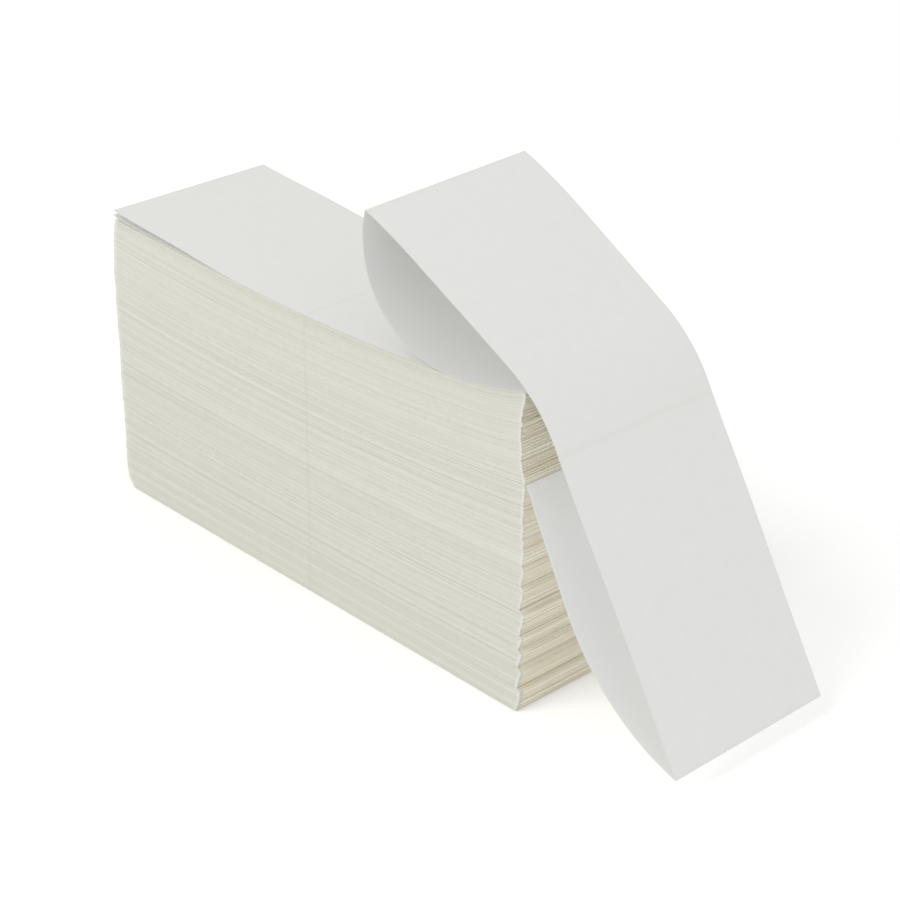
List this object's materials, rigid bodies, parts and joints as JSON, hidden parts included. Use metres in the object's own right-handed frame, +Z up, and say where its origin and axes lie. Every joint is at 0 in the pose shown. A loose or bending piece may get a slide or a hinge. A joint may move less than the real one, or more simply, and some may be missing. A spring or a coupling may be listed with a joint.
{
  "type": "fan-folded label stack",
  "caption": "Fan-folded stack of blank thermal labels on a perforated release liner, with a looped strip pulled out of one end.",
  "frame": {"origin": "centre of the stack's bottom face", "axes": "+X along the folded leaves towards the pulled-out loop, +Y across the web, +Z up"},
  "size_m": [0.4142, 0.1032, 0.2286],
  "materials": {
    "pressed_leaves": "matte cut edges",
    "release_liner": "satin glassine",
    "label_paper": "smooth matte"
  },
  "bodies": {
    "lower_stack": {"lower_pack_01": "pressed_leaves", "lower_pack_02": "pressed_leaves", "lower_pack_03": "pressed_leaves", "lower_pack_04": "pressed_leaves", "lower_pack_05": "pressed_leaves", "lower_pack_06": "pressed_leaves", "lower_pack_07": "pressed_leaves", "lower_pack_08": "pressed_leaves", "lower_pack_09": "pressed_leaves", "lower_pack_10": "pressed_leaves", "lower_pack_11": "pressed_leaves", "lower_pack_12": "pressed_leaves", "lower_pack_13": "pressed_leaves", "exit_leaf_liner": "release_liner", "exit_leaf_label_left": "label_paper", "exit_leaf_label_right": "label_paper"},
    "upper_stack": {"upper_pack_01": "pressed_leaves", "upper_pack_02": "pressed_leaves", "upper_pack_03": "pressed_leaves", "upper_pack_04": "pressed_leaves", "upper_pack_05": "pressed_leaves", "upper_pack_06": "pressed_leaves", "upper_pack_07": "pressed_leaves", "upper_pack_08": "pressed_leaves", "second_leaf_liner": "release_liner", "second_leaf_label_left": "label_paper", "second_leaf_label_right": "label_paper"},
    "top_leaf": {"top_leaf_liner": "release_liner", "top_leaf_label_left": "label_paper", "top_leaf_label_right": "label_paper"},
    "panel_4": {"panel_4_liner": "release_liner", "panel_4_label": "label_paper"},
    "panel_3": {"panel_3_liner": "release_liner", "panel_3_label": "label_paper"},
    "panel_2": {"panel_2_liner": "release_liner", "panel_2_label": "label_paper"},
    "panel_1": {"panel_1_liner": "release_liner", "panel_1_label": "label_paper"}
  },
  "joints": [
    {"name": "upper_stack_lift", "type": "hinge", "parent": "lower_stack", "child": "upper_stack", "pos_m": [-0.15857, 0, 0.11957], "axis": [0, -1, 0], "range_deg": [0, 40]},
    {"name": "top_leaf_lift", "type": "hinge", "parent": "upper_stack", "child": "top_leaf", "pos_m": [-0.15557, 0, 0.1652], "axis": [0, -1, 0], "range_deg": [0, 30]},
    {"name": "fold_4", "type": "hinge", "parent": "top_leaf", "child": "panel_4", "pos_m": [0.15557, 0, 0.16946], "axis": [0, 1, 0], "range_deg": [0, 45]},
    {"name": "fold_3", "type": "hinge", "parent": "panel_4", "child": "panel_3", "pos_m": [0.04815, 0, 0.22863], "axis": [0, -1, 0], "range_deg": [0, 5.06]},
    {"name": "fold_2", "type": "hinge", "parent": "panel_3", "child": "panel_2", "pos_m": [0.17594, 0, 0.14443], "axis": [0, -1, 0], "range_deg": [0, 51.2]},
    {"name": "fold_1", "type": "hinge", "parent": "panel_2", "child": "panel_1", "pos_m": [0.25474, 0, 0.01029], "axis": [0, 1, 0], "range_deg": [0, 3.81]}
  ],
  "couplings": [
    {"joint": "fold_3", "follows": "fold_4", "ratio": 0.1121},
    {"joint": "fold_2", "follows": "fold_4", "ratio": 1.1373},
    {"joint": "fold_1", "follows": "fold_4", "ratio": 0.0843}
  ]
}
